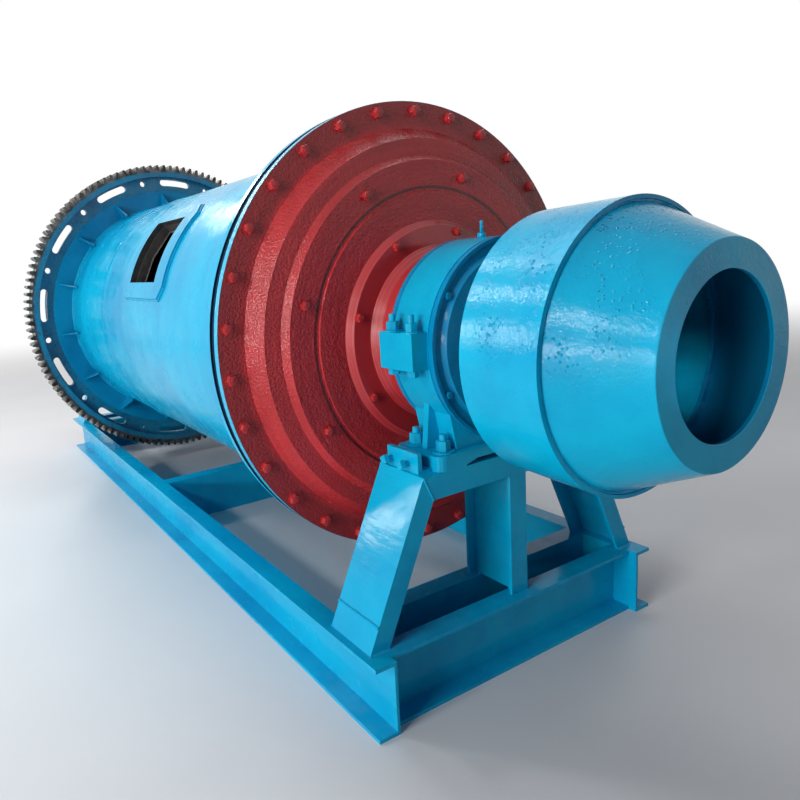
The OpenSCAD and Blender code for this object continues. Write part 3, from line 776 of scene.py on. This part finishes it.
# Painted shade: the inside faces of the nose (inner cone wall, back of the end ring, mouth lip) get a
# darker blue.
inner = spread(tree, unrolled, cone_back - 0.0055, cone_back - 0.0045, 1.0, 0.0)
behind = spread(tree, along, nose_long - 0.0017, nose_long - 0.0005, 1.0, 0.0)
paint_over(tree, shader, sums(tree, "MULTIPLY", inner, behind), (0.002, 0.200, 0.400))
nose = finish_piece("feeder_nose", bm, nose_paint, "drum", angle=20)
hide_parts("feeder_cone", "feeder_end_plate")

bm = bmesh.new()
ring_weld(bm, rim_weld_x, cone_back + 0.001, rim_bead, 201)
finish_piece("feeder_welds", bm, feeder_paint, "drum")

# Stage. A plain pale floor that fades to white, soft rectangular lamps in
# front, at both ends and above, and the camera at the photograph's place.
floor = bmesh.new()
bmesh.ops.create_circle(floor, cap_ends=True, segments=96, radius=40.0)
floor_mesh = bpy.data.meshes.new("floor")
floor.to_mesh(floor_mesh)
floor.free()
floor_piece = bpy.data.objects.new("floor", floor_mesh)
bpy.context.scene.collection.objects.link(floor_piece)


def as_background(tree):
    path = tree.nodes.new("ShaderNodeLightPath")
    seen = sums(tree, "MAXIMUM", path.outputs["Is Camera Ray"], path.outputs["Is Glossy Ray"])
    return sums(tree, "MAXIMUM", seen, path.outputs["Is Transmission Ray"])


mat, tree, shader, coords = start_material("floor_pale")
shader.inputs["Roughness"].default_value = 0.6
tint = blend(tree, noise(tree, coords, 1.5, 4.0), (0.62, 0.63, 0.64), (0.70, 0.70, 0.70))
tree.links.new(tint, shader.inputs["Base Color"])
length = tree.nodes.new("ShaderNodeVectorMath")
length.operation = "LENGTH"
tree.links.new(coords, length.inputs[0])
glow = tree.nodes.new("ShaderNodeEmission")
tree.links.new(as_background(tree), glow.inputs["Strength"])
mixed = tree.nodes.new("ShaderNodeMixShader")
tree.links.new(spread(tree, length.outputs["Value"], 4.0, 12.0), mixed.inputs["Fac"])
tree.links.new(shader.outputs["BSDF"], mixed.inputs[1])
tree.links.new(glow.outputs["Emission"], mixed.inputs[2])
tree.links.new(mixed.outputs["Shader"], tree.nodes["Material Output"].inputs["Surface"])
floor_mesh.materials.append(mat)

world = bpy.data.worlds.new("studio")
world.use_nodes = True
bpy.context.scene.world = world
tree = world.node_tree
background = tree.nodes["Background"]
seen = as_background(tree)
tree.links.new(blend(tree, seen, (0.88, 0.80, 1.0), (1.0, 1.0, 1.0)), background.inputs["Color"])
tree.links.new(spread(tree, seen, 0.0, 1.0, 0.08, 1.0), background.inputs["Strength"])


def lamp(name, place, aim, size, power, colour=(1, 1, 1), beam=180):
    data = bpy.data.lights.new(name, "AREA")
    data.spread = math.radians(beam)
    data.shape = "RECTANGLE"
    data.size, data.size_y = size
    data.energy = power
    data.color = colour
    item = bpy.data.objects.new(name, data)
    bpy.context.scene.collection.objects.link(item)
    item.location = place
    item.rotation_euler = (Vector(aim) - Vector(place)).to_track_quat("-Z", "Y").to_euler()


for row, (height, power) in enumerate(((2.00, 80), (5.40, 88))):
    for bay in range(3):
        place = (2.0 + bay * 1.15, -8.0, height)
        lamp("side_window_%d_%d" % (row, bay), place, (1.6, 0.0, 1.1), (0.95, 0.80), power)
for number, (place, size, power) in enumerate((
    ((-4.95, -4.20, 5.7), (1.1, 0.9), 95),
    ((-4.50, -5.30, 2.3), (0.9, 1.5), 90),
    ((-6.40, -1.50, 8.2), (1.2, 1.0), 70),
    ((-8.00, -0.90, 6.4), (2.6, 1.6), 190),
)):
    lamp("end_window_%d" % number, place, (0.8, -0.2, 1.1), size, power)
lamp("door_light", (-2.4, -6.5, 2.6), (-0.4, 0.0, 1.0), (3.6, 2.0), 50, (1.0, 0.98, 0.95))
lamp("roof_light", (-1.0, 0.5, 6.0), (0.0, 0.0, 1.0), (5.0, 2.0), 150, (0.94, 0.98, 1.0))
lamp("front_light", (7.0, -0.5, 1.5), (1.6, 0.0, 1.1), (1.6, 1.2), 5)
lamp("near_light", (2.4, -5.0, 0.7), (1.4, 0.0, 0.9), (3.0, 1.0), 26)
mouth_aim = (feed_face + 0.72, 0.33, axis_z - 0.15)
lamp("mouth_light", (feed_face + 2.43, -2.05, axis_z + 0.68), mouth_aim, (0.16, 0.16), 0.045, beam=4)

# The camera was solved from the circles of the head, gear and feeder; its
# focal length and middle are in pixels of the 800 pixel picture.
picture = 800
focal, middle_x, middle_y = 670.59, 317.65, 378.47
sensor = 36
camera_place = (feed_face + 1.807, -1.4717, axis_z + 0.276)
azimuth, elevation, roll = math.radians(59.867), math.radians(-10.288), math.radians(-4.151)
level = math.cos(elevation)
forward = Vector((-math.sin(azimuth) * level, math.cos(azimuth) * level, math.sin(elevation)))
right = Vector((math.cos(azimuth), math.sin(azimuth), 0))
up = right.cross(forward)
right_rolled = right * math.cos(roll) + up * math.sin(roll)
up_rolled = up * math.cos(roll) - right * math.sin(roll)
camera_data = bpy.data.cameras.new("camera")
camera_data.sensor_width = sensor
camera_data.lens = focal / picture * sensor
camera_data.shift_x = (picture / 2 - middle_x) / picture
camera_data.shift_y = (middle_y - picture / 2) / picture
camera = bpy.data.objects.new("camera", camera_data)
bpy.context.scene.collection.objects.link(camera)
turn = Matrix((right_rolled, up_rolled, -forward)).transposed().to_4x4()
camera.matrix_world = Matrix.Translation(camera_place) @ turn
bpy.context.scene.camera = camera
bpy.context.scene.view_settings.view_transform = "Standard"
